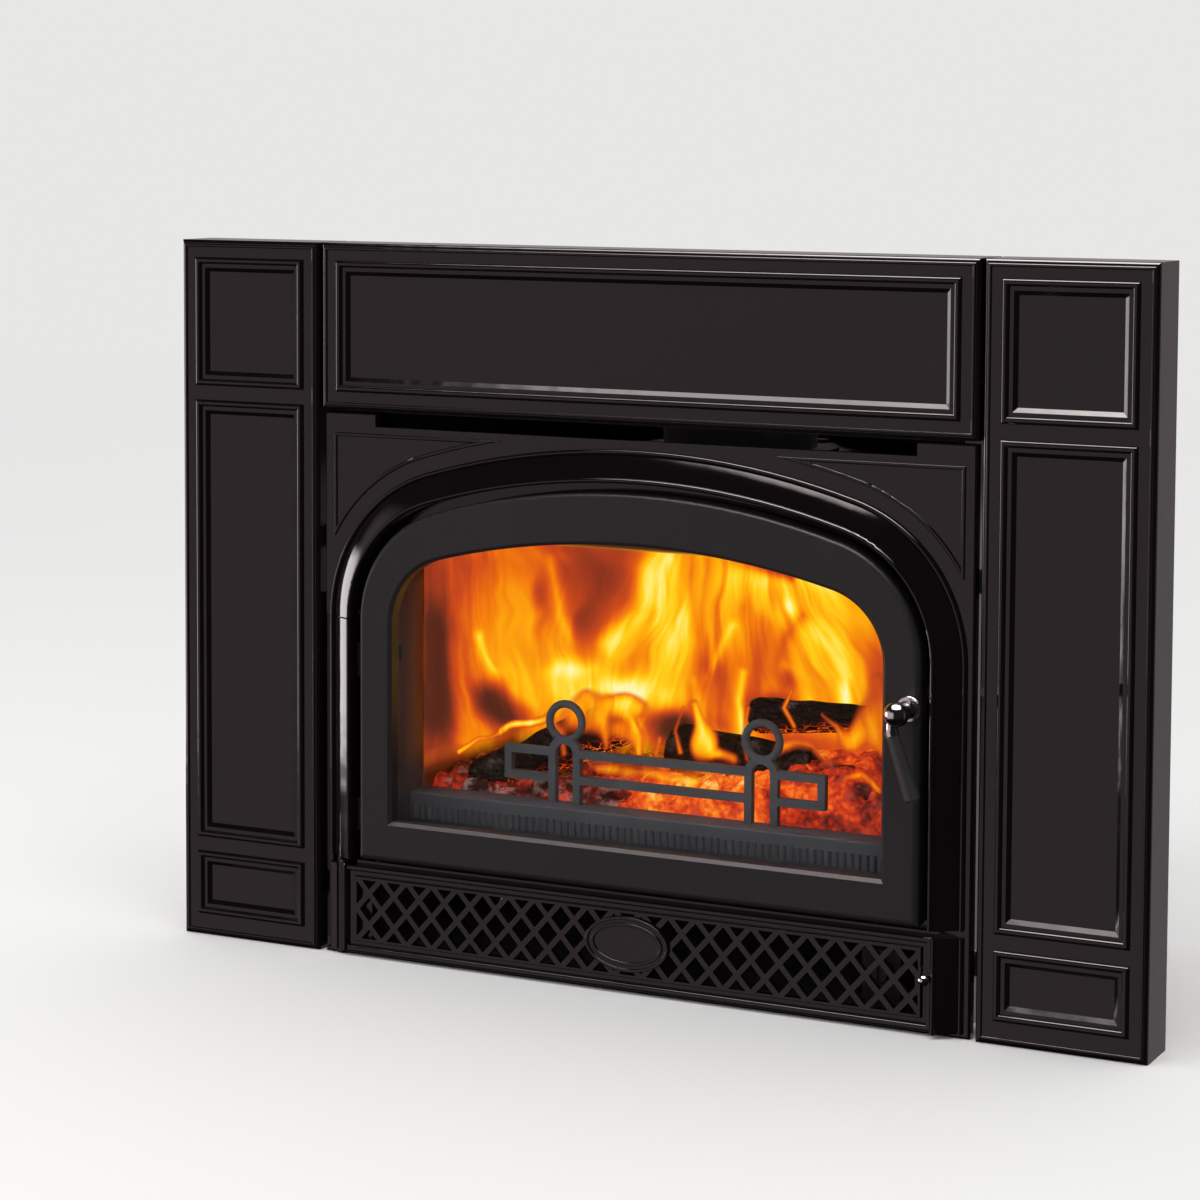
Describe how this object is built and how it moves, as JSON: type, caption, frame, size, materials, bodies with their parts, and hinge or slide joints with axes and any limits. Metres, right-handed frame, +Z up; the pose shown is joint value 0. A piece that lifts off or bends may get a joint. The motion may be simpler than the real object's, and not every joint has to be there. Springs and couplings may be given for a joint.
{
  "type": "fireplace insert",
  "caption": "Cast-iron wood-burning fireplace insert with arched glazed door, latch handle, hinged diamond-lattice grille, moulded enamel surround and flue collar.",
  "frame": {"origin": "on the hearth in the wall plane behind the surround, half way across the width", "axes": "+X to the right as seen from the room, across the width; +Y from the room into the chimney opening; +Z up, along the flue"},
  "size_m": [1.06, 0.5063, 0.74],
  "materials": {
    "enamel": "glossy dark brown-black vitreous enamel",
    "black_iron": "satin black paint on cast iron",
    "satin_steel": "matt heat-proof black paint on sheet steel",
    "plate_steel": "heat-stained dark grey plate",
    "zinc_steel": "bright zinc-plated fasteners",
    "bright_metal": "polished bright plating",
    "grip": "hard black moulded grip, softly glossy",
    "pane": "clear ceramic glass",
    "rope": "woven glass-fibre rope",
    "firebrick": "rough sooty firebrick",
    "board": "pale insulating board",
    "iron_bed": "bare grey cast iron",
    "charred_wood": "charred and ash-covered wood",
    "embers": "glowing coals over pale ash",
    "black_plastic": "black moulded plastic",
    "motor_steel": "plain pressed steel"
  },
  "bodies": {
    "insert": {"left_surround_panel": "enamel", "right_surround_panel": "enamel", "top_surround_panel": "enamel", "front_casting": "enamel", "arch_hood": "enamel", "right_plinth_block": "enamel", "surround_brackets": "satin_steel", "outer_jacket": "satin_steel", "base_plate": "satin_steel", "fan_housing": "satin_steel", "fan_control": "satin_steel", "throat_frame": "plate_steel", "firebox_shell": "plate_steel", "flue_collar": "plate_steel", "air_rails": "plate_steel", "latch_keeper": "plate_steel", "panel_bolts": "zinc_steel", "hinge_pins": "zinc_steel", "keeper_screws": "zinc_steel", "flange_bolts": "zinc_steel", "levelling_bolts": "zinc_steel", "flue_bolts": "zinc_steel", "air_tubes": "zinc_steel", "floor_bricks": "firebrick", "rear_bricks": "firebrick", "left_bricks": "firebrick", "right_bricks": "firebrick", "baffle_board": "board", "fluted_fender": "iron_bed", "log_retainer": "iron_bed", "left_log": "charred_wood", "centre_log": "charred_wood", "upper_log": "charred_wood", "rear_log": "charred_wood", "ember_bed": "embers", "fan_motor": "motor_steel"},
    "door": {"door_casting": "black_iron", "hinge_pilaster": "enamel", "pilaster_screws": "zinc_steel", "glass_seal": "rope", "door_glass": "pane", "glass_clips": "plate_steel", "clip_screws": "zinc_steel", "door_rope": "rope", "handle_escutcheon": "bright_metal"},
    "handle": {"handle_hub": "bright_metal", "handle_grip": "grip", "handle_shaft": "zinc_steel", "latch_pawl": "plate_steel", "pawl_nut": "zinc_steel"},
    "grille_door": {"lower_grille": "enamel", "grille_pilaster": "enamel", "grille_badge": "enamel", "grille_knob": "bright_metal"},
    "air_control": {"air_slide": "plate_steel", "air_lever": "bright_metal"},
    "fan_wheel": {"fan_rotor": "motor_steel"},
    "speed_knob": {"fan_speed_knob": "black_plastic"}
  },
  "joints": [
    {"name": "door_swing", "type": "hinge", "parent": "insert", "child": "door", "pos_m": [-0.337, -0.05, 0.25], "axis": [0, 0, -1], "range_deg": [0, 110]},
    {"name": "handle_turn", "type": "hinge", "parent": "door", "child": "handle", "pos_m": [0.297, -0.072, 0.314], "axis": [0, -1, 0], "range_deg": [-19, 50]},
    {"name": "grille_swing", "type": "hinge", "parent": "insert", "child": "grille_door", "pos_m": [-0.337, -0.05, 0.05], "axis": [0, 0, -1], "range_deg": [0, 95]},
    {"name": "air_slide_travel", "type": "slide", "parent": "insert", "child": "air_control", "axis": [1, 0, 0], "range_m": [0, 0.022]},
    {"name": "fan_spin", "type": "hinge", "parent": "insert", "child": "fan_wheel", "pos_m": [0, 0.3, 0.05], "axis": [1, 0, 0], "continuous": true},
    {"name": "speed_knob_turn", "type": "hinge", "parent": "insert", "child": "speed_knob", "pos_m": [0.25, -0.02, 0.045], "axis": [0, -1, 0], "range_deg": [-270, 0]}
  ]
}
